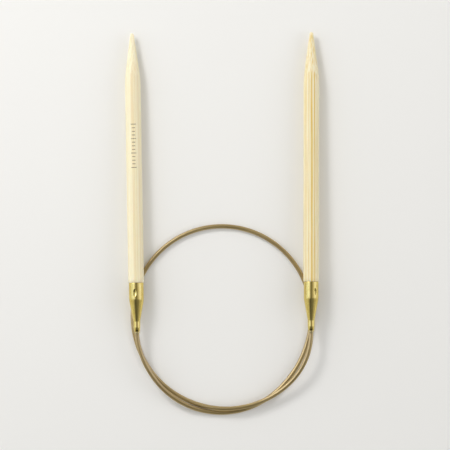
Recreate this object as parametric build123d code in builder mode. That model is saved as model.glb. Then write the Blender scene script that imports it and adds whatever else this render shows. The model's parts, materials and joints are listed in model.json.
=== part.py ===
"""Circular knitting needle, 6.5 mm by 60 cm: bamboo tips in brass ferrules, joined by one flexible cord.

The needle lies on a table, the plane z = 0. The origin is on the table, at the centre of the space it fills.
+Y points along the needles to their points, +X from the left needle to the right one, and +Z up. Millimetres.

The cord is one piece that bends anywhere. Its two free tails are cut into short links on upright knuckles, so
that they can bend; the coil between the tails is one solid. Each ferrule turns freely on its cord.
"""

import os
from math import cos, pi, radians, sin, sqrt, tan

from build123d import *

# Bamboo tip
shaft_radius = 3.25
tip_length = 124.3  # ferrule mouth to the very point
point_nose_radius = 0.8
point_taper = 7.6  # degrees between the taper and the axis
shoulder_radius = 45.0  # rounding where the taper runs into the shaft
shaft_chamfer = 0.1
tenon_start = 13.6
tenon_chamfer = 0.4

# Brass ferrule, measured from its mouth along the needle
ferrule_radius = 3.08
ferrule_wall = 0.4
mouth_radius = 1.2
mouth_taper_length = 1.7
neck_radius = 1.43
neck_end = 4.4
cone_end = 13.15
ferrule_length = 20.4
rim_chamfer = 0.12
punch_radius = 0.9  # round nose of the crimping punch, across its ridge
punch_depth = 0.35
punch_mark_length = 3.1
left_punch = (16.2, 10.0)  # distance from the mouth, degrees round from the top, outwards
right_punch = (16.1, 32.0)

# Collar bush between the ferrule and the cord
collar_radius = 1.0
flange_radius = 1.2
flange_thickness = 0.5
flange_chamfer = 0.1
collar_tail = 0.6
collar_reach = 2.9  # into the ferrule's neck

# Crimped stop inside the ferrule's cone
stop_radius = 1.3
stop_start = 6.2
stop_length = 2.5
stop_chamfer = 0.3
stop_waist = 0.12  # depth of the crimp around its middle

# Running clearances
turning_gap = 0.03
axial_gap = 0.05
glue_gap = 0.02

# Cord in plan: arcs that run into each other, from the left collar to the right one, (radius, degrees turned)
cord_radius = 0.9
cord_start = (-35.385, -46.12)
cord_start_heading = -89.0
cord_arcs = [
    (12.0, 8.0),
    (38.7, 31.0),
    (34.3, 88.0),
    (42.7, 48.0),
    (37.2, 180.0),
    (38.7, 137.0),
    (28.9, 46.9),
]
arc_lengths = [radius * radians(turn) for radius, turn in cord_arcs]
cord_length = sum(arc_lengths)

# Cord in height: it lies on the table, steps over the strand it crosses, then rises to the ferrule
needle_tilt = 1.55  # degrees; each needle rests on its point's shoulder, its other end raised by the cord
crossing_lift = 1.95
rise_length = 39.0
left_step = (33.0, 49.0)  # from the left collar: the cord comes down off the other strand between these
right_step = (49.0, 69.0)  # the same, from the right collar

# The cord's tails are cut into links, so that they can bend; upright knuckles join the links
link_length = 8.0
left_links = 6
right_links = 7
tongue_radius = 0.88
knuckle_gap = 0.03
tongue_overrun = 0.3  # extra cord that is trimmed back to the tongue's round end
path_spacing = 4.0  # between the points that the cord's centre line passes through

# Where the point's taper meets its nose, and would meet the shaft: (radius, distance from the mouth)
taper = radians(point_taper)
nose_edge = (point_nose_radius * cos(taper), tip_length - point_nose_radius * (1.0 - sin(taper)))
point_corner = (shaft_radius, nose_edge[1] - (shaft_radius - nose_edge[0]) / tan(taper))

# Radius of the punch's ridge along the needle
punch_ridge = (punch_mark_length**2 / 4.0 + punch_depth**2) / (2.0 * punch_depth)

# Heights that follow
shoulder_share = tan(taper / 2.0) - tan(radians(needle_tilt / 2.0))
resting_station = point_corner[1] - shoulder_radius * shoulder_share
collar_exit = collar_tail + flange_thickness + axial_gap
mouth_height = shaft_radius * cos(radians(needle_tilt)) + resting_station * sin(radians(needle_tilt))
cord_exit_height = mouth_height + collar_exit * sin(radians(needle_tilt))


def cord_in_plan(station):
    """x, y and heading (radians) of the cord's centre line, at a distance along it from the left collar."""
    x, y = cord_start
    heading = radians(cord_start_heading)
    left = station
    for (radius, _), length in zip(cord_arcs, arc_lengths):
        step = min(left, length)
        turned = heading + step / radius
        x += radius * (sin(turned) - sin(heading))
        y -= radius * (cos(turned) - cos(heading))
        heading = turned
        left -= step
    return x, y, heading


def smooth_step(share):
    share = min(max(share, 0.0), 1.0)
    return share * share * (3.0 - 2.0 * share)


def rise_to_collar(distance):
    """Extra height near a collar: none at the far end of the rise, in line with the needle at the collar."""
    share = min(max(1.0 - distance / rise_length, 0.0), 1.0)
    height = cord_exit_height - cord_radius - crossing_lift
    end_slope = -rise_length * tan(radians(needle_tilt)) / height
    return height * ((3.0 - end_slope) * share**2 + (end_slope - 2.0) * share**3)


def cord_height(station):
    """Height of the centre line: on the table, plus the step over the other strand and the rise."""
    from_right = cord_length - station
    distance, (near, far) = (station, left_step) if station < from_right else (from_right, right_step)
    over_strand = crossing_lift * smooth_step((far - distance) / (far - near))
    return cord_radius + over_strand + rise_to_collar(distance)


def cord_point(station):
    x, y, _ = cord_in_plan(station)
    return Vector(x, y, cord_height(station))


def cord_direction(station):
    """Unit tangent of the centre line, towards the right collar."""
    low = max(station - 0.01, 0.0)
    high = min(station + 0.01, cord_length)
    heading = cord_in_plan(station)[2]
    slope = (cord_height(high) - cord_height(low)) / (high - low)
    return Vector(cos(heading), sin(heading), slope).normalized()


def hinge_stations(side):
    """Stations of a tail's knuckles, from the coil out to the collar."""
    count = left_links if side == "left" else right_links
    distances = [link_length * (count - i) for i in range(count)]
    return distances if side == "left" else [cord_length - distance for distance in distances]


def needle_plane(side):
    """Plane at the ferrule's mouth: z runs along the needle to its point, and x lies level, outwards."""
    station, outwards = (0.0, -1.0) if side == "left" else (cord_length, 1.0)
    heading = cord_in_plan(station)[2] + (pi if side == "left" else 0.0)
    tilt = radians(needle_tilt)
    direction = Vector(cos(heading) * cos(tilt), sin(heading) * cos(tilt), -sin(tilt))
    across = Vector(sin(heading), -cos(heading), 0.0) * outwards
    return Plane(origin=cord_point(station) + direction * collar_exit, x_dir=across, z_dir=direction)


def section_plane(side):
    """Plane through the needle's axis, for turned shapes: x is the radius, outwards, y runs to the point."""
    face = needle_plane(side)
    return Plane(origin=face.origin, x_dir=face.x_dir, z_dir=-face.y_dir)


def needle_axis(side):
    face = needle_plane(side)
    return Axis(face.origin, face.z_dir)


def punch_plane(side, punch):
    """Plane through the punch and the needle's axis: x points away from the axis, and y runs along it."""
    distance, angle = punch
    face = needle_plane(side)
    up = cos(radians(angle)) * (1.0 if face.y_dir.Z > 0.0 else -1.0)
    outwards = face.x_dir * sin(radians(angle)) + face.y_dir * up
    height = ferrule_radius - punch_depth + punch_radius
    centre = face.origin + face.z_dir * distance + outwards * height
    return Plane(origin=centre, x_dir=outwards, z_dir=outwards.cross(face.z_dir))


def punch_nose(side, punch, growth):
    """Nose of the crimping punch where it stops: its ridge turned about a line along the needle, and grown."""
    plane = punch_plane(side, punch)
    end = sqrt((punch_ridge + growth) ** 2 - (punch_ridge - punch_radius) ** 2)
    with BuildPart() as nose:
        with BuildSketch(plane):
            with BuildLine():
                ThreePointArc((0.0, -end), (punch_radius + growth, 0.0), (0.0, end))
                Line((0.0, end), (0.0, -end))
            make_face()
        revolve(axis=Axis(plane.origin, plane.y_dir))
    return nose.part


def knuckle_trimmer(station, way):
    """What goes beyond a knuckle: all but a round tongue. way is +1 past the station, or -1 before it."""
    length, width, height = 1.6 * cord_radius, 2.1 * cord_radius, 3.0 * cord_radius
    heading = cord_in_plan(station)[2]
    ahead = Vector(cos(heading), sin(heading), 0.0)
    knuckle = Plane(origin=cord_point(station), x_dir=ahead, z_dir=(0.0, 0.0, 1.0))
    with BuildPart(knuckle) as trimmer:
        with Locations((way * length / 2.0, 0.0, 0.0)):
            Box(length, width, height)
        Cylinder(tongue_radius, height, mode=Mode.SUBTRACT)
    return trimmer.part


def cord_stretches(first, last):
    """Stations between which the centre line is one flat arc, or one spline where it changes height."""
    flat_start, flat_end = left_step[1], cord_length - right_step[1]
    arc_ends = [sum(arc_lengths[: i + 1]) for i in range(len(arc_lengths))]
    breaks = [first] + [end for end in arc_ends if max(first, flat_start) < end < min(last, flat_end)]
    breaks += [flat_end, last] if first < flat_end < last else [last]
    return zip(breaks, breaks[1:])


def cord_piece(start, end, tongues, sockets):
    """Cord between two stations; each tongue or socket is at one of them."""
    overrun = cord_radius + tongue_overrun
    first = start - overrun if start in tongues else start
    last = end + overrun if end in tongues else end
    trimmers = [knuckle_trimmer(station, 1.0 if station == end else -1.0) for station in tongues]
    with BuildPart() as piece:
        with BuildLine() as centre:
            for near, far in cord_stretches(first, last):
                if cord_height(near) == cord_height(far) == cord_radius:
                    ThreePointArc(cord_point(near), cord_point((near + far) / 2.0), cord_point(far))
                else:
                    spans = max(2, round((far - near) / path_spacing))
                    Spline(
                        [cord_point(near + (far - near) * i / spans) for i in range(spans + 1)],
                        tangents=[cord_direction(near), cord_direction(far)],
                    )
        with BuildSketch(Plane(origin=cord_point(first), x_dir=(0.0, 0.0, 1.0), z_dir=cord_direction(first))):
            Circle(cord_radius)
        sweep(path=centre.wire())
        for trimmer in trimmers:
            add(trimmer, mode=Mode.SUBTRACT)
        for station in sockets:
            with Locations(cord_point(station)):
                Cylinder(tongue_radius + knuckle_gap, 4.0 * cord_radius, mode=Mode.SUBTRACT)
    return piece.part


def cord_coil():
    """The coil between the two tails, with a tongue at each end."""
    left, right = hinge_stations("left")[0], hinge_stations("right")[0]
    return cord_piece(left, right, tongues=[left, right], sockets=[])


def cord_link(side, number):
    """One link of a tail, counted from the coil. The last one runs straight on into the ferrule to its stop."""
    hinges = hinge_stations(side)
    inner = hinges[number - 1]
    if number < len(hinges):
        outer = hinges[number]
        return cord_piece(min(inner, outer), max(inner, outer), tongues=[outer], sockets=[inner])
    outer = 0.0 if side == "left" else cord_length
    curved = cord_piece(min(inner, outer), max(inner, outer), tongues=[], sockets=[inner])
    with BuildPart() as link:
        add(curved)
        with BuildSketch(needle_plane(side).offset(-collar_exit)):
            Circle(cord_radius)
        extrude(amount=collar_exit + stop_start + stop_length)
    return link.part


def cord_collar(side):
    """Flanged bush on the cord: the ferrule's neck turns on it."""
    with BuildPart() as bush:
        with BuildSketch(section_plane(side)):
            with BuildLine():
                Polyline(
                    (cord_radius, -collar_exit),
                    (collar_radius, -collar_exit),
                    (collar_radius, -axial_gap - flange_thickness),
                    (flange_radius - flange_chamfer, -axial_gap - flange_thickness),
                    (flange_radius, -axial_gap - flange_thickness + flange_chamfer),
                    (flange_radius, -axial_gap - flange_chamfer),
                    (flange_radius - flange_chamfer, -axial_gap),
                    (collar_radius, -axial_gap),
                    (collar_radius, collar_reach),
                    (cord_radius, collar_reach),
                    close=True,
                )
            make_face()
        revolve(axis=needle_axis(side))
    return bush.part


def cord_stop(side):
    """Bead crimped on the end of the cord, too big to pass the ferrule's neck."""
    top = stop_start + stop_length
    with BuildPart() as bead:
        with BuildSketch(section_plane(side)):
            with BuildLine():
                Polyline(
                    (stop_radius, top - stop_chamfer),
                    (stop_radius - stop_chamfer, top),
                    (cord_radius, top),
                    (cord_radius, stop_start),
                    (stop_radius - stop_chamfer, stop_start),
                    (stop_radius, stop_start + stop_chamfer),
                )
                ThreePointArc(
                    (stop_radius, stop_start + stop_chamfer),
                    (stop_radius - stop_waist, stop_start + stop_length / 2.0),
                    (stop_radius, top - stop_chamfer),
                )
            make_face()
        revolve(axis=needle_axis(side))
    return bead.part


def ferrule(side, punch):
    """Drawn brass ferrule: mouth, neck, cone and socket, with one punched dent that grips the tenon."""
    bore = collar_radius + turning_gap
    socket = ferrule_radius - ferrule_wall
    with BuildPart() as bulge:
        add(punch_nose(side, punch, ferrule_wall))
        with Locations(needle_plane(side).offset(punch[0])):
            Cylinder(ferrule_radius - ferrule_wall / 2.0, 2.0 * punch_mark_length, mode=Mode.INTERSECT)
    with BuildPart() as shell:
        with BuildSketch(section_plane(side)):
            with BuildLine():
                Polyline(
                    (bore, 0.0),
                    (mouth_radius, 0.0),
                    (neck_radius, mouth_taper_length),
                    (neck_radius, neck_end),
                    (ferrule_radius, cone_end),
                    (ferrule_radius, ferrule_length - rim_chamfer),
                    (ferrule_radius - rim_chamfer, ferrule_length),
                    (socket, ferrule_length),
                    (socket, cone_end),
                    (bore, neck_end),
                    close=True,
                )
            make_face()
        revolve(axis=needle_axis(side))
        add(bulge.part)
        add(punch_nose(side, punch, 0.0), mode=Mode.SUBTRACT)
    return shell.part


def bamboo_tip(side, punch):
    """Turned bamboo: a tenon for the ferrule's socket, the shaft, and the long point with a rounded nose."""
    tenon = ferrule_radius - ferrule_wall - glue_gap
    with BuildPart() as tip:
        with BuildSketch(section_plane(side)) as outline:
            with BuildLine():
                Polyline(
                    (0.0, tip_length),
                    (0.0, tenon_start),
                    (tenon - tenon_chamfer, tenon_start),
                    (tenon, tenon_start + tenon_chamfer),
                    (tenon, ferrule_length),
                    (shaft_radius - shaft_chamfer, ferrule_length),
                    (shaft_radius, ferrule_length + shaft_chamfer),
                    point_corner,
                    nose_edge,
                )
                RadiusArc(nose_edge, (0.0, tip_length), -point_nose_radius)
            make_face()
            fillet(outline.vertices().sort_by_distance(Vector(*point_corner))[0], shoulder_radius)
        revolve(axis=needle_axis(side))
        add(punch_nose(side, punch, ferrule_wall + glue_gap), mode=Mode.SUBTRACT)
    return tip.part


def export(name, part):
    part.label = name
    export_step(part, f"parts/{name}.step")


os.makedirs("parts", exist_ok=True)
export("cord_coil", cord_coil())
for side, links, punch in (("left", left_links, left_punch), ("right", right_links, right_punch)):
    for number in range(1, links + 1):
        export(f"{side}_cord_link_{number}", cord_link(side, number))
    export(f"{side}_cord_collar", cord_collar(side))
    export(f"{side}_cord_stop", cord_stop(side))
    export(f"{side}_ferrule", ferrule(side, punch))
    export(f"{side}_bamboo_tip", bamboo_tip(side, punch))
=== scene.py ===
import json
from math import cos, pi, radians, sin, sqrt, tan

import bpy
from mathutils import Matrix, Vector


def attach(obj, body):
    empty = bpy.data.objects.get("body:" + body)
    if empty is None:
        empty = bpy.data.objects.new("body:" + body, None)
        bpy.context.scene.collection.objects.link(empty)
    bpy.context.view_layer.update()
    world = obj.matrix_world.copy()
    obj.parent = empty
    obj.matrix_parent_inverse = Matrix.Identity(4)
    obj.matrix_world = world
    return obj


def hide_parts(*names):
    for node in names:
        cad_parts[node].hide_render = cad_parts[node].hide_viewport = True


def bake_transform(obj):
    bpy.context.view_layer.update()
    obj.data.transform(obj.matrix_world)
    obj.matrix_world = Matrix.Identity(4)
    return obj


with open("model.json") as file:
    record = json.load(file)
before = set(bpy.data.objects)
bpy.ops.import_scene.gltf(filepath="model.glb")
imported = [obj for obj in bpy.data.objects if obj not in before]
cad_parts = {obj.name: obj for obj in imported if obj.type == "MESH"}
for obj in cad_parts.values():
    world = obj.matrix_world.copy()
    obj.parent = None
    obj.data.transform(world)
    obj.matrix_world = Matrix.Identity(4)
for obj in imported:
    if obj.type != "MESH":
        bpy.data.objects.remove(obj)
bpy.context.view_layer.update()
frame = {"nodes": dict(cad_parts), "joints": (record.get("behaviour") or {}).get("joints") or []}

MM = 0.001

# ---------------------------------------------------------------- sizes, in millimetres, as in the CAD

SHAFT_RADIUS = 3.25
SHAFT_CHAMFER = 0.1
TIP_LENGTH = 124.3
NOSE_RADIUS = 0.8
TAPER = radians(7.6)
SHOULDER_RADIUS = 45.0
TENON_START = 13.6
TENON_CHAMFER = 0.4
GLUE_GAP = 0.02

FERRULE_RADIUS = 3.08
FERRULE_WALL = 0.4
FERRULE_LENGTH = 20.4
RIM_CHAMFER = 0.12
CONE_END = 13.15
NECK_END = 4.4
NECK_RADIUS = 1.43
MOUTH_TAPER_LENGTH = 1.7
MOUTH_RADIUS = 1.2
BORE_RADIUS = 1.03
PUNCH_RADIUS = 0.9
PUNCH_DEPTH = 0.35
PUNCH_MARK_LENGTH = 3.1
PUNCH_RIDGE = (PUNCH_MARK_LENGTH**2 / 4.0 + PUNCH_DEPTH**2) / (2.0 * PUNCH_DEPTH)
PUNCHES = {"left": (16.2, 10.0), "right": (16.1, 32.0)}

COLLAR_RADIUS = 1.0
COLLAR_REACH = 2.9
COLLAR_EXIT = 1.15
FLANGE_RADIUS = 1.2
FLANGE_THICKNESS = 0.5
FLANGE_CHAMFER = 0.1
AXIAL_GAP = 0.05
STOP_END = 8.7

CORD_RADIUS = 0.9
CORD_START = (-35.385, -46.12)
CORD_HEADING = radians(-89.0)
CORD_ARCS = [
    (12.0, 8.0),
    (38.7, 31.0),
    (34.3, 88.0),
    (42.7, 48.0),
    (37.2, 180.0),
    (38.7, 137.0),
    (28.9, 46.9),
]
CORD_LENGTH = sum(radius * radians(turn) for radius, turn in CORD_ARCS)
NEEDLE_TILT = radians(1.55)
CROSSING_LIFT = 1.95
RISE_LENGTH = 39.0
LEFT_STEP = (33.0, 49.0)
RIGHT_STEP = (49.0, 69.0)
LINK_LENGTH = 8.0
LINKS = {"left": 6, "right": 7}

EDGE_BREAK = 0.06  # the broken edge of a thin brass rim, finer than the CAD shows

# ---------------------------------------------------------------- how finely the meshes are divided

CORD_SIDES = 32
TIP_SIDES = 96
FERRULE_SIDES = 144
COLLAR_SIDES = 64
CORD_SPACING = 0.4  # between the cord's rings, in mm
BEND_SPACING = 0.25  # the same where the cord's skin lies over a hinge
SHOULDER_STEPS = 10
NOSE_STEPS = 8
CORNER_STEPS = 6

# ---------------------------------------------------------------- what the frame says

joints = {joint["name"]: joint for joint in frame["joints"]}
mouth_height = joints["left_swivel"]["pos_m"][2] / MM
CORD_EXIT_HEIGHT = mouth_height + COLLAR_EXIT * sin(NEEDLE_TILT)


# ---------------------------------------------------------------- the cord's centre line

def cord_in_plan(station):
    x, y = CORD_START
    heading = CORD_HEADING
    left = station
    for radius, turn in CORD_ARCS:
        step = min(left, radius * radians(turn))
        turned = heading + step / radius
        x += radius * (sin(turned) - sin(heading))
        y -= radius * (cos(turned) - cos(heading))
        heading = turned
        left -= step
    return x, y, heading


def smooth_step(share):
    share = min(max(share, 0.0), 1.0)
    return share * share * (3.0 - 2.0 * share)


def cord_height(station):
    from_right = CORD_LENGTH - station
    distance, (near, far) = (station, LEFT_STEP) if station < from_right else (from_right, RIGHT_STEP)
    over_strand = CROSSING_LIFT * smooth_step((far - distance) / (far - near))
    share = min(max(1.0 - distance / RISE_LENGTH, 0.0), 1.0)
    rise = CORD_EXIT_HEIGHT - CORD_RADIUS - CROSSING_LIFT
    end_slope = -RISE_LENGTH * tan(NEEDLE_TILT) / rise
    return CORD_RADIUS + over_strand + rise * ((3.0 - end_slope) * share**2 + (end_slope - 2.0) * share**3)


def cord_point(station):
    """Point on the centre line; past either end it runs straight on into the ferrule."""
    if station < 0.0 or station > CORD_LENGTH:
        side = "left" if station < 0.0 else "right"
        beyond = -station if station < 0.0 else station - CORD_LENGTH
        origin, axis, _, _ = needle_frame(side)
        return origin + axis * (beyond - COLLAR_EXIT)
    x, y, _ = cord_in_plan(station)
    return Vector((x, y, cord_height(station)))


def cord_direction(station):
    reach = 0.02
    return (cord_point(station + reach) - cord_point(station - reach)).normalized()


def needle_frame(side):
    """Origin at the ferrule's mouth, and unit vectors: to the point, across (outwards) and up."""
    joint = joints[side + "_swivel"]
    origin = Vector(joint["pos_m"]) / MM
    axis = Vector(joint["axis"])
    across = Vector((0.0, 0.0, 1.0)).cross(axis).normalized()
    if (across.x > 0.0) != (side == "right"):
        across = -across
    up = axis.cross(across)
    if up.z < 0.0:
        up = -up
    return origin, axis, across, up


# ---------------------------------------------------------------- meshes

def build_mesh(name, points, faces, local, uvs, sharp):
    """A mesh from points in mm. local holds each vertex's place on its own piece, for the materials."""
    mesh = bpy.data.meshes.new(name)
    mesh.from_pydata([tuple(p * MM) for p in points], [], faces)
    mesh.attributes.new("local", "FLOAT_VECTOR", "POINT")
    mesh.attributes["local"].data.foreach_set("vector", [c for v in local for c in v])
    layer = mesh.uv_layers.new(name="UVMap")
    layer.data.foreach_set("uv", [c for face in uvs for corner in face for c in corner])
    mesh.polygons.foreach_set("use_smooth", [True] * len(mesh.polygons))
    for edge in mesh.edges:
        if frozenset(edge.vertices) in sharp:
            edge.use_edge_sharp = True
    mesh.update()
    obj = bpy.data.objects.new(name, mesh)
    bpy.context.scene.collection.objects.link(obj)
    return obj


def tube(name, first, last, spacing):
    """Closed round tube along the cord between two stations, with rings about spacing apart."""
    sides = CORD_SIDES
    rings = max(2, round((last - first) / spacing))
    points, local, faces, uvs = [], [], [], []
    for i in range(rings + 1):
        station = first + (last - first) * i / rings
        centre, direction = cord_point(station), cord_direction(station)
        side = Vector((0.0, 0.0, 1.0)).cross(direction).normalized()
        up = direction.cross(side)
        for j in range(sides):
            angle = 2.0 * pi * j / sides
            c, s = CORD_RADIUS * cos(angle), CORD_RADIUS * sin(angle)
            points.append(centre + side * c + up * s)
            local.append((c, s, station))
    for i in range(rings):
        v0, v1 = i / rings, (i + 1) / rings
        for j in range(sides):
            k = (j + 1) % sides
            faces.append((i * sides + j, i * sides + k, (i + 1) * sides + k, (i + 1) * sides + j))
            u0, u1 = j / sides, (j + 1) / sides
            uvs.append([(u0, v0), (u1, v0), (u1, v1), (u0, v1)])
    sharp = set()
    turns = [2.0 * pi * j / sides for j in range(sides)]
    corners = [(0.5 + 0.5 * cos(turn), 0.5 + 0.5 * sin(turn)) for turn in turns]
    for i, flip in ((0, True), (rings, False)):
        loop = [i * sides + j for j in range(sides)]
        faces.append(tuple(reversed(loop)) if flip else tuple(loop))
        uvs.append(list(reversed(corners)) if flip else corners)
        sharp |= {frozenset((loop[j], loop[(j + 1) % sides])) for j in range(sides)}
    return build_mesh(name, points, faces, local, uvs, sharp)


def lathe(name, side, profile, sides, shape=None, sharp_rows=(), closed=False):
    """Turns a profile of (radius, distance from the mouth) about the needle's axis; a radius of 0 is a pole.

    shape moves a point of the section: (x, y, radius, distance) to a new (x, y).
    """
    origin, axis, across, up = needle_frame(side)
    points, local, faces, uvs, rows = [], [], [], [], []
    for radius, distance in profile:
        count = 1 if radius == 0.0 else sides
        rows.append((len(points), count))
        for j in range(count):
            angle = 2.0 * pi * j / sides
            x, y = radius * sin(angle), radius * cos(angle)
            if shape:
                x, y = shape(x, y, radius, distance)
            points.append(origin + axis * distance + across * x + up * y)
            local.append((x, y, distance))
    pairs = [(i, i + 1) for i in range(len(rows) - 1)] + ([(len(rows) - 1, 0)] if closed else [])
    lengths = [0.0]
    for (r0, d0), (r1, d1) in zip(profile, profile[1:] + profile[:1]):
        lengths.append(lengths[-1] + sqrt((r1 - r0) ** 2 + (d1 - d0) ** 2))
    total = lengths[-1]
    clockwise = across.cross(up).dot(axis) > 0.0
    for a, b in pairs:
        (start_a, count_a), (start_b, count_b) = rows[a], rows[b]
        va, vb = lengths[a] / total, lengths[a + 1] / total
        for j in range(sides):
            k = (j + 1) % sides
            u0, u1 = j / sides, (j + 1) / sides
            corners = [(start_a + j % count_a, (u0, va)), (start_b + j % count_b, (u0, vb))]
            corners += [(start_b + k % count_b, (u1, vb)), (start_a + k % count_a, (u1, va))]
            kept = []
            for corner in corners:
                if corner[0] not in [c[0] for c in kept]:
                    kept.append(corner)
            if clockwise:
                kept.reverse()
            faces.append(tuple(c[0] for c in kept))
            uvs.append([c[1] for c in kept])
    sharp = set()
    for row in sharp_rows:
        start, count = rows[row]
        sharp |= {frozenset((start + j, start + (j + 1) % count)) for j in range(count)}
    return build_mesh(name, points, faces, local, uvs, sharp)


def punched(side, growth):
    """The shape that moves points inside the punch's nose, grown, on to its surface, towards the axis."""
    place, angle = PUNCHES[side]
    height = FERRULE_RADIUS - PUNCH_DEPTH + PUNCH_RADIUS
    bx, by = height * sin(radians(angle)), height * cos(radians(angle))

    def shape(x, y, radius, distance):
        along = (PUNCH_RIDGE + growth) ** 2 - (distance - place) ** 2
        nose = sqrt(max(along, 0.0)) - PUNCH_RIDGE + PUNCH_RADIUS
        if radius < NECK_RADIUS or nose <= 0.0:
            return x, y
        nx, ny = x / radius, y / radius
        ahead = bx * nx + by * ny
        reach = nose * nose - height * height + ahead * ahead
        if ahead <= 0.0 or reach <= 0.0:
            return x, y
        limit = min(radius, ahead - sqrt(reach))
        return nx * limit, ny * limit

    return shape


def arc(centre, radius, first, last, steps):
    """Points of an arc in a profile, between two angles from straight out towards the point."""
    angles = [first + (last - first) * k / steps for k in range(steps + 1)]
    return [(centre[0] + radius * cos(angle), centre[1] + radius * sin(angle)) for angle in angles]


def rounded(profile, cuts):
    """The profile with corners rounded: cuts maps a corner's index to the length it is cut back by."""
    out = []
    for i, (r, d) in enumerate(profile):
        back = cuts.get(i)
        if not back:
            out.append((r, d))
            continue
        (r0, d0), (r1, d1) = profile[i - 1], profile[i + 1]
        l0, l1 = sqrt((r0 - r) ** 2 + (d0 - d) ** 2), sqrt((r1 - r) ** 2 + (d1 - d) ** 2)
        a = (r + (r0 - r) * back / l0, d + (d0 - d) * back / l0)
        b = (r + (r1 - r) * back / l1, d + (d1 - d) * back / l1)
        for k in range(CORNER_STEPS + 1):
            t = k / CORNER_STEPS
            w0, w1, w2 = (1.0 - t) ** 2, 2.0 * t * (1.0 - t), t * t
            out.append((w0 * a[0] + w1 * r + w2 * b[0], w0 * a[1] + w1 * d + w2 * b[1]))
    return out


def divided(profile, spans):
    """The profile with rows added: spans lists (from distance, to distance, spacing)."""
    out = [profile[0]]
    for (r0, d0), (r1, d1) in zip(profile, profile[1:]):
        near, far = min(d0, d1), max(d0, d1)
        spacings = [spacing for low, high, spacing in spans if near < high and far > low]
        parts = max(1, round((far - near) / min(spacings))) if spacings else 1
        out += [(r0 + (r1 - r0) * k / parts, d0 + (d1 - d0) * k / parts) for k in range(1, parts + 1)]
    return out


def rows_at(profile, *distances):
    """Rows of the profile at these distances, apart from a pole."""
    return [
        row
        for row, (radius, distance) in enumerate(profile)
        if radius > 0.0 and any(abs(distance - place) < 1e-6 for place in distances)
    ]


# ---------------------------------------------------------------- node helpers

class Nodes:
    """Short spelling for building a node tree."""

    def __init__(self, tree):
        self.tree = tree
        tree.nodes.clear()

    def add(self, kind, **settings):
        node = self.tree.nodes.new(kind)
        for key, value in settings.items():
            setattr(node, key, value)
        return node

    def put(self, value, socket):
        if isinstance(value, bpy.types.NodeSocket):
            self.tree.links.new(value, socket)
        else:
            socket.default_value = value

    def math(self, operation, a, b=0.0, c=0.0):
        node = self.add("ShaderNodeMath", operation=operation)
        for value, socket in zip((a, b, c), node.inputs):
            self.put(value, socket)
        return node.outputs[0]

    def vector(self, operation, a, b=(0.0, 0.0, 0.0)):
        node = self.add("ShaderNodeVectorMath", operation=operation)
        self.put(a, node.inputs[0])
        self.put(b, node.inputs[1])
        return node.outputs[0]

    def distance(self, a, b):
        node = self.add("ShaderNodeVectorMath", operation="DISTANCE")
        self.put(a, node.inputs[0])
        self.put(b, node.inputs[1])
        return node.outputs["Value"]

    def noise(self, vector, detail=2.0, roughness=0.5, scale=1.0):
        node = self.add("ShaderNodeTexNoise", noise_dimensions="3D")
        self.put(vector, node.inputs["Vector"])
        node.inputs["Scale"].default_value = scale
        node.inputs["Detail"].default_value = detail
        node.inputs["Roughness"].default_value = roughness
        return node.outputs["Fac"]

    def ramp(self, value, stops):
        """Smooth map from value to a number or a colour; stops are (position, number or colour)."""
        node = self.add("ShaderNodeValToRGB")
        node.color_ramp.interpolation = "EASE"
        elements = node.color_ramp.elements
        while len(elements) < len(stops):
            elements.new(0.5)
        for element, (position, shade) in zip(elements, stops):
            element.position = position
            element.color = (shade, shade, shade, 1.0) if isinstance(shade, float) else (*shade, 1.0)
        self.put(value, node.inputs["Fac"])
        return node.outputs["Color"]

    def mix(self, factor, a, b, blend="MIX"):
        node = self.add("ShaderNodeMix", data_type="RGBA", blend_type=blend)
        node.clamp_factor = True
        self.put(factor, node.inputs["Factor"])
        for value, socket in ((a, node.inputs[6]), (b, node.inputs[7])):
            self.put((*value, 1.0) if isinstance(value, tuple) else value, socket)
        return node.outputs[2]

    def local(self):
        """Place on the piece in mm: across, up and along it."""
        node = self.add("ShaderNodeAttribute", attribute_type="GEOMETRY", attribute_name="local")
        return node.outputs["Vector"]


def new_material(name):
    material = bpy.data.materials.new(name)
    material.use_nodes = True
    nodes = Nodes(material.node_tree)
    surface = nodes.add("ShaderNodeBsdfPrincipled")
    output = nodes.add("ShaderNodeOutputMaterial")
    nodes.tree.links.new(surface.outputs[0], output.inputs["Surface"])
    return material, nodes, surface


def bump(nodes, height, distance_mm, strength):
    node = nodes.add("ShaderNodeBump")
    node.inputs["Strength"].default_value = strength
    node.inputs["Distance"].default_value = distance_mm * MM
    nodes.put(height, node.inputs["Height"])
    return node.outputs[0]


# ---------------------------------------------------------------- materials

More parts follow.
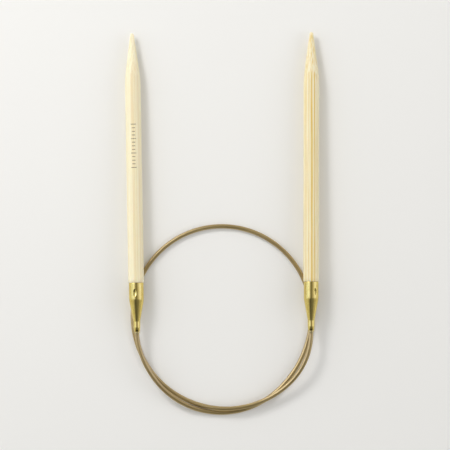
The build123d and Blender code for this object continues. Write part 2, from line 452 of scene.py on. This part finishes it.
def bamboo_material(name, offset, pale, cream, dark, contrast, stripes, printed=False):
    """Bamboo: fibre bundles along the needle, seen as stripes on the shaft and cut open on the point.

    stripes lists the clearest bundles under the surface: (degrees round from the top, width, strength).
    """
    material, nodes, surface = new_material(name)
    local = nodes.local()
    place = nodes.vector("ADD", local, offset)
    wander = nodes.noise(nodes.vector("MULTIPLY", place, (0.2, 0.2, 0.035)), 1.0)
    shift = nodes.add("ShaderNodeCombineXYZ")
    nodes.put(nodes.math("MULTIPLY_ADD", wander, 0.5, -0.25), shift.inputs[0])
    nodes.put(nodes.math("MULTIPLY_ADD", wander, -0.4, 0.20), shift.inputs[1])
    across = nodes.vector("MULTIPLY", nodes.vector("ADD", local, shift.outputs[0]), (1.0, 1.0, 0.0))

    cells = nodes.add("ShaderNodeTexVoronoi", feature="F1", voronoi_dimensions="2D")
    nodes.put(nodes.vector("ADD", across, offset), cells.inputs["Vector"])
    cells.inputs["Scale"].default_value = 1.45
    cells.inputs["Randomness"].default_value = 0.9
    bundle = nodes.ramp(cells.outputs["Distance"], [(0.14, 1.0), (0.34, 0.0)])
    # Bundles fade towards the skin, where only the listed stripes are clear
    depth = nodes.math("MULTIPLY", nodes.distance(across, (0.0, 0.0, 0.0)), 0.25)
    bundle = nodes.math("MULTIPLY", bundle, nodes.ramp(depth, [(0.66, 0.75), (0.78, 0.25)]))
    stripe_radius = SHAFT_RADIUS - 0.1
    for angle, width, strength in stripes:
        centre = (stripe_radius * sin(radians(angle)), stripe_radius * cos(radians(angle)), 0.0)
        near = nodes.math("DIVIDE", nodes.distance(across, centre), width)
        line = nodes.math("MULTIPLY", nodes.ramp(near, [(0.35, 1.0), (0.8, 0.0)]), strength)
        bundle = nodes.math("MAXIMUM", bundle, line)
    length = nodes.noise(nodes.vector("MULTIPLY", place, (0.8, 0.8, 0.05)), 2.0)
    bundle = nodes.math("MULTIPLY", bundle, nodes.ramp(length, [(0.25, 0.6), (0.6, 1.0)]))

    broad = nodes.noise(nodes.vector("MULTIPLY", place, (0.45, 0.45, 0.006)), 1.0)
    streak = nodes.noise(nodes.vector("MULTIPLY", place, (2.8, 2.8, 0.02)), 2.0, 0.6)
    fibre = nodes.noise(nodes.vector("MULTIPLY", place, (11.0, 11.0, 0.25)), 2.0, 0.6)
    fleck = nodes.noise(nodes.vector("MULTIPLY", place, (7.0, 7.0, 0.9)), 1.0)
    fleck = nodes.math("MULTIPLY", nodes.ramp(fleck, [(0.62, 0.0), (0.74, 1.0)]), 0.16 * contrast)

    colour = nodes.mix(nodes.ramp(broad, [(0.35, 0.0), (0.65, 1.0)]), pale, cream)
    shade = nodes.math("MULTIPLY", nodes.ramp(streak, [(0.45, 0.0), (0.68, 1.0)]), 0.5 * contrast)
    colour = nodes.mix(shade, colour, dark)
    colour = nodes.mix(nodes.math("MULTIPLY", bundle, contrast), colour, dark)
    colour = nodes.mix(fleck, colour, (0.42, 0.28, 0.12))
    colour = nodes.mix(0.10, colour, nodes.ramp(fibre, [(0.3, 0.55), (0.7, 1.0)]), "MULTIPLY")
    if printed:
        colour = printed_scale(nodes, colour)
    nodes.put(colour, surface.inputs["Base Color"])
    nodes.put(nodes.ramp(fibre, [(0.3, 0.40), (0.7, 0.54)]), surface.inputs["Roughness"])
    height = nodes.math("MULTIPLY_ADD", bundle, -0.5, nodes.math("MULTIPLY", fibre, 0.6))
    nodes.put(bump(nodes, height, 0.02, 0.5), surface.inputs["Normal"])
    surface.inputs["Subsurface Weight"].default_value = 0.2
    surface.inputs["Subsurface Radius"].default_value = (1.0, 0.75, 0.4)
    surface.inputs["Subsurface Scale"].default_value = 0.0012
    surface.inputs["Coat Weight"].default_value = 0.12
    surface.inputs["Coat Roughness"].default_value = 0.35
    surface.inputs["IOR"].default_value = 1.45
    return material


def printed_scale(nodes, colour):
    """A plain row of printed ticks along the needle, every fourth one longer, over the bamboo's colour."""
    start, pitch, ticks = 67.5, 1.5, 13
    half_thickness = 0.11  # in pitches
    short_tick, long_tick = 0.65, 1.10
    axes = nodes.add("ShaderNodeSeparateXYZ")
    nodes.put(nodes.local(), axes.inputs[0])
    x, y, distance = axes.outputs
    aside = nodes.math("ABSOLUTE", nodes.math("MULTIPLY", nodes.math("ARCTAN2", x, y), SHAFT_RADIUS))
    along = nodes.math("DIVIDE", nodes.math("SUBTRACT", distance, start), pitch)
    off_tick = nodes.math("ABSOLUTE", nodes.math("SUBTRACT", nodes.math("FRACT", along), 0.5))
    number = nodes.math("FLOOR", along)
    is_long = nodes.math("COMPARE", nodes.math("MODULO", number, 4.0), 0.0, 0.5)
    reach = nodes.math("MULTIPLY_ADD", is_long, long_tick - short_tick, short_tick)
    ink = nodes.math("LESS_THAN", off_tick, half_thickness)
    ink = nodes.math("MULTIPLY", ink, nodes.math("LESS_THAN", aside, reach))
    ink = nodes.math("MULTIPLY", ink, nodes.math("GREATER_THAN", along, 0.0))
    ink = nodes.math("MULTIPLY", ink, nodes.math("LESS_THAN", along, float(ticks)))
    worn = nodes.ramp(nodes.noise(nodes.local(), 2.0, 0.6, 3.0), [(0.3, 0.55), (0.6, 0.85)])
    return nodes.mix(nodes.math("MULTIPLY", ink, worn), colour, (0.13, 0.085, 0.04))


def brass_material(name, tint, roughness):
    """Drawn brass: fine rings from the lathe, faint lengthwise rubbing, and an uneven, handled film."""
    material, nodes, surface = new_material(name)
    place = nodes.local()
    rings = nodes.noise(nodes.vector("MULTIPLY", place, (0.6, 0.6, 14.0)), 2.0, 0.6)
    rubbed = nodes.noise(nodes.vector("MULTIPLY", place, (9.0, 9.0, 0.7)), 2.0, 0.6)
    film = nodes.noise(nodes.vector("MULTIPLY", place, (0.9, 0.9, 0.5)), 3.0, 0.6)
    deep = tuple(c * s for c, s in zip(tint, (0.90, 0.84, 0.70)))
    colour = nodes.mix(nodes.ramp(film, [(0.35, 0.0), (0.7, 0.75)]), tint, deep)
    nodes.put(colour, surface.inputs["Base Color"])
    uneven = nodes.math("MULTIPLY_ADD", nodes.math("ADD", rubbed, film), 0.10, roughness - 0.10)
    nodes.put(uneven, surface.inputs["Roughness"])
    surface.inputs["Metallic"].default_value = 1.0
    height = nodes.math("ADD", rings, nodes.math("MULTIPLY", rubbed, 0.5))
    nodes.put(bump(nodes, height, 0.004, 0.35), surface.inputs["Normal"])
    return material


def cord_material(name):
    """Smooth flexible cord: olive brown nylon with a satin skin, drawn lines along it and small scuffs."""
    material, nodes, surface = new_material(name)
    place = nodes.local()
    drawn = nodes.noise(nodes.vector("MULTIPLY", place, (3.0, 3.0, 0.06)), 3.0, 0.6)
    scuff = nodes.noise(nodes.vector("MULTIPLY", place, (4.0, 4.0, 1.3)), 3.0, 0.65)
    tone = nodes.noise(nodes.vector("MULTIPLY", place, (0.8, 0.8, 0.05)), 2.0)
    tone = nodes.ramp(tone, [(0.35, 0.0), (0.65, 1.0)])
    lines = nodes.math("MULTIPLY", nodes.ramp(drawn, [(0.45, 0.0), (0.75, 1.0)]), 0.4)
    colour = nodes.mix(tone, (0.405, 0.292, 0.112), (0.515, 0.382, 0.158))
    colour = nodes.mix(lines, colour, (0.60, 0.465, 0.23))
    nodes.put(colour, surface.inputs["Base Color"])
    nodes.put(nodes.ramp(scuff, [(0.3, 0.30), (0.75, 0.46)]), surface.inputs["Roughness"])
    surface.inputs["Metallic"].default_value = 0.75
    surface.inputs["IOR"].default_value = 1.53
    surface.inputs["Coat Weight"].default_value = 0.45
    surface.inputs["Coat Roughness"].default_value = 0.2
    surface.inputs["Coat IOR"].default_value = 1.6
    surface.inputs["Subsurface Weight"].default_value = 0.15
    surface.inputs["Subsurface Radius"].default_value = (1.0, 0.7, 0.3)
    surface.inputs["Subsurface Scale"].default_value = 0.0005
    height = nodes.math("ADD", nodes.math("MULTIPLY", drawn, 0.8), nodes.math("MULTIPLY", scuff, 0.4))
    nodes.put(bump(nodes, height, 0.012, 0.4), surface.inputs["Normal"])
    return material


bamboo = {
    "left": bamboo_material(
        "left_bamboo",
        offset=(3.1, 7.4, 210.0),
        pale=(0.92, 0.865, 0.62),
        cream=(0.89, 0.80, 0.56),
        dark=(0.80, 0.65, 0.37),
        contrast=0.7,
        stripes=[(2.0, 0.80, 0.8), (11.0, 0.40, 0.9), (-16.0, 0.35, 0.8), (-40.0, 0.45, 0.9)],
        printed=True,
    ),
    "right": bamboo_material(
        "right_bamboo",
        offset=(41.7, 18.2, 40.0),
        pale=(0.90, 0.83, 0.60),
        cream=(0.88, 0.78, 0.50),
        dark=(0.74, 0.52, 0.13),
        contrast=1.0,
        stripes=[
            (-46.0, 0.55, 0.45),
            (-20.0, 0.45, 0.55),
            (2.0, 0.62, 1.0),
            (24.0, 0.50, 0.95),
            (44.0, 0.30, 0.4),
        ],
    ),
}
brass = brass_material("drawn_brass", (0.80, 0.645, 0.200), 0.13)
collar_brass = brass_material("collar_brass", (0.62, 0.52, 0.25), 0.30)
cord_nylon = cord_material("cord_nylon")


# ---------------------------------------------------------------- the pieces

def dress(obj, material):
    obj.data.materials.append(material)


def metres(point):
    return tuple(point * MM)


HALF_LINK = LINK_LENGTH / 2.0
OUTWARDS = {"left": -1.0, "right": 1.0}
HINGES = {
    "left": [LINK_LENGTH * (LINKS["left"] - i) for i in range(LINKS["left"])],
    "right": [CORD_LENGTH - LINK_LENGTH * (LINKS["right"] - i) for i in range(LINKS["right"])],
}


def coil_skin():
    """The rigid coil, up to half a link short of the first hinge on each side."""
    coil = tube("cord_coil_skin", HINGES["left"][0] + HALF_LINK, HINGES["right"][0] - HALF_LINK, CORD_SPACING)
    dress(coil, cord_nylon)
    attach(coil, "coil")
    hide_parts("cord_coil")


def tail_skins(side):
    """The tail's stretches, each built in place over one hinge, and its end, which runs on into the ferrule.
    """
    for number, station in enumerate(HINGES[side], 1):
        inner = station - OUTWARDS[side] * HALF_LINK
        outer = station + OUTWARDS[side] * HALF_LINK
        bend = tube(f"{side}_cord_bend_{number}", min(inner, outer), max(inner, outer), BEND_SPACING)
        dress(bend, cord_nylon)
        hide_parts(f"{side}_cord_link_{number}")
        metres(cord_point(inner))
        metres(cord_point(outer))
        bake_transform(bend)
    beyond = COLLAR_EXIT + STOP_END
    end = -beyond if side == "left" else CORD_LENGTH + beyond
    tail = tube(f"{side}_cord_end", min(outer, end), max(outer, end), CORD_SPACING)
    dress(tail, cord_nylon)
    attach(tail, f"{side}_link_{LINKS[side]}")
    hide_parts(f"{side}_cord_link_{LINKS[side]}")


def bamboo_tip(side):
    """Tenon, shaft, long taper and rounded nose, with the punch's dent in the tenon."""
    nose_base = NOSE_RADIUS * cos(TAPER)
    taper_end = TIP_LENGTH - NOSE_RADIUS * (1.0 - sin(TAPER))
    corner = taper_end - (SHAFT_RADIUS - nose_base) / tan(TAPER)
    back = SHOULDER_RADIUS * tan(TAPER / 2.0)
    tenon = FERRULE_RADIUS - FERRULE_WALL - GLUE_GAP
    tenon_edge = TENON_START + TENON_CHAMFER
    profile = [
        (0.0, TENON_START),
        (tenon - TENON_CHAMFER, TENON_START),
        (tenon, tenon_edge),
        (tenon, FERRULE_LENGTH),
        (SHAFT_RADIUS - SHAFT_CHAMFER, FERRULE_LENGTH),
        (SHAFT_RADIUS, FERRULE_LENGTH + SHAFT_CHAMFER),
    ]
    shoulder_centre = (SHAFT_RADIUS - SHOULDER_RADIUS, corner - back)
    profile += arc(shoulder_centre, SHOULDER_RADIUS, 0.0, TAPER, SHOULDER_STEPS)
    profile += arc((0.0, TIP_LENGTH - NOSE_RADIUS), NOSE_RADIUS, TAPER, pi / 2.0, NOSE_STEPS)[:-1]
    profile += [(0.0, TIP_LENGTH)]
    shaft_start = FERRULE_LENGTH + SHAFT_CHAMFER
    profile = divided(profile, [(tenon_edge, FERRULE_LENGTH, 0.2), (shaft_start, TIP_LENGTH, 1.5)])
    sharp_rows = rows_at(profile, TENON_START, tenon_edge, FERRULE_LENGTH)
    dent = punched(side, FERRULE_WALL + GLUE_GAP)
    tip = lathe(f"{side}_tip", side, profile, TIP_SIDES, dent, sharp_rows)
    dress(tip, bamboo[side])
    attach(tip, f"{side}_needle")
    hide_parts(f"{side}_bamboo_tip")


def ferrule(side):
    """Mouth, neck, cone and sleeve, outside then inside, with the punch's dent through the sleeve."""
    outside = [
        (BORE_RADIUS, 0.0),
        (MOUTH_RADIUS - EDGE_BREAK, 0.0),
        (MOUTH_RADIUS, EDGE_BREAK),
        (NECK_RADIUS, MOUTH_TAPER_LENGTH),
        (NECK_RADIUS, NECK_END),
        (FERRULE_RADIUS, CONE_END),
        (FERRULE_RADIUS, FERRULE_LENGTH - RIM_CHAMFER),
        (FERRULE_RADIUS - RIM_CHAMFER, FERRULE_LENGTH),
    ]
    outside = rounded(outside, {3: 0.35, 4: 0.5, 5: 0.9})
    sleeve_start, sleeve_end = TENON_START + TENON_CHAMFER, FERRULE_LENGTH - RIM_CHAMFER
    outside = divided(outside, [(sleeve_start, sleeve_end, 0.12), (NECK_END, CONE_END, 0.8)])
    socket = FERRULE_RADIUS - FERRULE_WALL
    inside = [(socket, FERRULE_LENGTH), (socket, CONE_END), (BORE_RADIUS, NECK_END)]
    inside = divided(inside, [(CONE_END, FERRULE_LENGTH, 0.2), (NECK_END, CONE_END, 2.0)])
    outer_shape, inner_shape = punched(side, 0.0), punched(side, FERRULE_WALL)
    middle = FERRULE_RADIUS - FERRULE_WALL / 2.0

    def shape(x, y, radius, distance):
        return (outer_shape if radius > middle else inner_shape)(x, y, radius, distance)

    rim = len(outside)
    sharp_rows = [0, 1, rim - 1, rim]
    profile = outside + inside
    sleeve = lathe(f"{side}_ferrule_skin", side, profile, FERRULE_SIDES, shape, sharp_rows, closed=True)
    dress(sleeve, brass)
    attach(sleeve, f"{side}_needle")
    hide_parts(f"{side}_ferrule")


def collar(side):
    """Flanged bush on the cord."""
    flange_start, flange_end = -AXIAL_GAP - FLANGE_THICKNESS, -AXIAL_GAP
    profile = [
        (CORD_RADIUS, -COLLAR_EXIT),
        (COLLAR_RADIUS - EDGE_BREAK, -COLLAR_EXIT),
        (COLLAR_RADIUS, -COLLAR_EXIT + EDGE_BREAK),
        (COLLAR_RADIUS, flange_start),
        (FLANGE_RADIUS - FLANGE_CHAMFER, flange_start),
        (FLANGE_RADIUS, flange_start + FLANGE_CHAMFER),
        (FLANGE_RADIUS, flange_end - FLANGE_CHAMFER),
        (FLANGE_RADIUS - FLANGE_CHAMFER, flange_end),
        (COLLAR_RADIUS, flange_end),
        (COLLAR_RADIUS, COLLAR_REACH),
        (CORD_RADIUS, COLLAR_REACH),
    ]
    smooth_row = 2
    sharp_rows = [row for row in range(len(profile)) if row != smooth_row]
    bush = lathe(f"{side}_collar", side, profile, COLLAR_SIDES, sharp_rows=sharp_rows, closed=True)
    dress(bush, collar_brass)
    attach(bush, f"{side}_link_{LINKS[side]}")
    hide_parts(f"{side}_cord_collar")


coil_skin()
for side in ("left", "right"):
    tail_skins(side)
    bamboo_tip(side)
    ferrule(side)
    collar(side)
    # The stop inside the ferrule stays as it is in the CAD
    stop = frame["nodes"][f"{side}_cord_stop"]
    stop.data.materials.clear()
    stop.data.materials.append(collar_brass)


# ---------------------------------------------------------------- floor, light and camera

def floor_material():
    material, nodes, surface = new_material("pale_floor")
    place = nodes.add("ShaderNodeTexCoord").outputs["Object"]
    grain = nodes.noise(place, 2.0, 0.5, 900.0)
    surface.inputs["Base Color"].default_value = (0.84, 0.83, 0.80, 1.0)
    surface.inputs["Roughness"].default_value = 0.9
    surface.inputs["Specular IOR Level"].default_value = 0.2
    nodes.put(bump(nodes, grain, 0.02, 0.2), surface.inputs["Normal"])
    return material


FLOOR_REACH = 4.0
FLOOR_DROP = 0.00002  # keeps the floor clear of the cord that rests on it
floor_corners = [(x * FLOOR_REACH, y * FLOOR_REACH, 0.0) for x, y in ((-1, -1), (1, -1), (1, 1), (-1, 1))]
floor_mesh = bpy.data.meshes.new("floor")
floor_mesh.from_pydata(floor_corners, [], [(0, 1, 2, 3)])
floor = bpy.data.objects.new("floor", floor_mesh)
floor.location = (0.0, 0.0, -FLOOR_DROP)
floor_mesh.materials.append(floor_material())
bpy.context.scene.collection.objects.link(floor)


def area_light(name, place, size, power):
    """A soft box aimed at the origin. Metal doesn't mirror it: the world below holds what metal mirrors."""
    data = bpy.data.lights.new(name, "AREA")
    data.shape = "RECTANGLE"
    data.size, data.size_y = size
    data.energy = power
    light = bpy.data.objects.new(name, data)
    light.location = place
    light.rotation_euler = (-Vector(place)).to_track_quat("-Z", "Y").to_euler()
    light.visible_glossy = False
    bpy.context.scene.collection.objects.link(light)


area_light("key", (-0.398, 0.482, 0.497), (0.21, 0.21), 2.5)
area_light("upper_left_bank", (-0.50, 0.45, 0.62), (0.90, 0.90), 1.2)
area_light("left_bank", (-0.80, 0.0, 0.40), (0.27, 0.50), 0.8)
area_light("right_bank", (1.04, 0.0, 0.60), (0.45, 0.70), 3.3)

world = bpy.data.worlds.new("studio")
bpy.context.scene.world = world
world.use_nodes = True
nodes = Nodes(world.node_tree)
direction = nodes.add("ShaderNodeTexCoord").outputs["Generated"]
axes = nodes.add("ShaderNodeSeparateXYZ")
nodes.put(direction, axes.inputs[0])
x, y, z = axes.outputs
# What metal mirrors, by direction from left (0) to right (1): a cool soft box on each side and a darker gap
# between them overhead; surfaces that face a little to the front mirror a dimmer, wider gap
across = nodes.math("MULTIPLY_ADD", x, 0.5, 0.5)
north = nodes.math("MULTIPLY_ADD", y, 0.5, 0.5)
level = nodes.ramp(
    across,
    [
        (0.00, (0.60, 0.62, 0.75)),
        (0.03, (1.28, 1.42, 2.10)),
        (0.09, (0.80, 0.92, 1.10)),
        (0.18, (1.34, 1.48, 2.20)),
        (0.31, (0.85, 0.88, 1.20)),
        (0.42, (0.27, 0.26, 0.24)),
        (0.58, (0.23, 0.22, 0.20)),
        (0.72, (0.55, 0.54, 0.60)),
        (0.83, (0.78, 0.78, 0.95)),
        (0.92, (1.08, 1.12, 1.60)),
    ],
)
front = nodes.ramp(
    across,
    [(0.10, 0.68), (0.20, 0.42), (0.35, 0.10), (0.50, 0.12), (0.60, 0.20), (0.75, 0.20), (0.92, 0.50)],
)
front = nodes.mix(1.0, front, nodes.ramp(north, [(0.20, 0.30), (0.32, 1.0)]), "MULTIPLY")
mirrored = nodes.mix(nodes.ramp(north, [(0.42, 0.0), (0.49, 1.0)]), front, level)
# Near the horizon the studio's walls are evenly light
walls = nodes.ramp(z, [(0.15, 0.62), (0.45, 0.0)])
mirrored = nodes.mix(1.0, mirrored, walls, "LIGHTEN")
# The key's reflection: a soft round patch at the upper left
key_direction = (-0.64, 0.50, 0.583)
towards = nodes.add("ShaderNodeVectorMath", operation="DOT_PRODUCT")
nodes.put(direction, towards.inputs[0])
nodes.put(key_direction, towards.inputs[1])
patch = nodes.ramp(towards.outputs["Value"], [(0.91, 0.0), (0.98, 2.9)])
mirrored = nodes.mix(1.0, mirrored, patch, "ADD")
path = nodes.add("ShaderNodeLightPath")
fill = (0.54, 0.54, 0.54)
background = nodes.add("ShaderNodeBackground")
nodes.put(nodes.mix(path.outputs["Is Glossy Ray"], fill, mirrored), background.inputs["Color"])
output = nodes.add("ShaderNodeOutputWorld")
nodes.tree.links.new(background.outputs[0], output.inputs["Surface"])

# Straight above, far enough for the photo's flat perspective
camera_data = bpy.data.cameras.new("camera")
camera_data.sensor_width = 36.0
camera_data.lens = 288.0
camera_data.clip_start, camera_data.clip_end = 0.1, 10.0
camera = bpy.data.objects.new("camera", camera_data)
camera.location = (0.00121, -0.00059, 1.503)
bpy.context.scene.collection.objects.link(camera)
bpy.context.scene.camera = camera
bpy.context.scene.view_settings.view_transform = "Standard"
